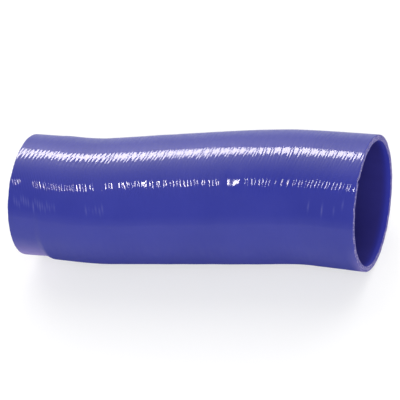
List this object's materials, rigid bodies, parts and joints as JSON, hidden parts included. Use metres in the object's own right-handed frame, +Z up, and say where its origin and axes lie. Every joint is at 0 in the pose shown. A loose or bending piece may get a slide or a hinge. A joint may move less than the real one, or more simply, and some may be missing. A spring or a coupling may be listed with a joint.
{
  "type": "charge air hose",
  "caption": "Short offset charge air hose: one moulded silicone tube with two parallel open ends, a smaller cuff at one end and a slightly flared mouth at the other.",
  "frame": {"origin": "on the floor, under the middle of the bounding box", "axes": "+X along the hose from the small end to the large end, square to both cut ends; +Y level, to the side on which the large end lies; +Z up"},
  "size_m": [0.2894, 0.134, 0.1108],
  "materials": {
    "silicone": "glossy moulded silicone, with fine ridges across the hose from the wrap it was cured in"
  },
  "bodies": {
    "root": {"hose": "silicone"}
  },
  "joints": []
}
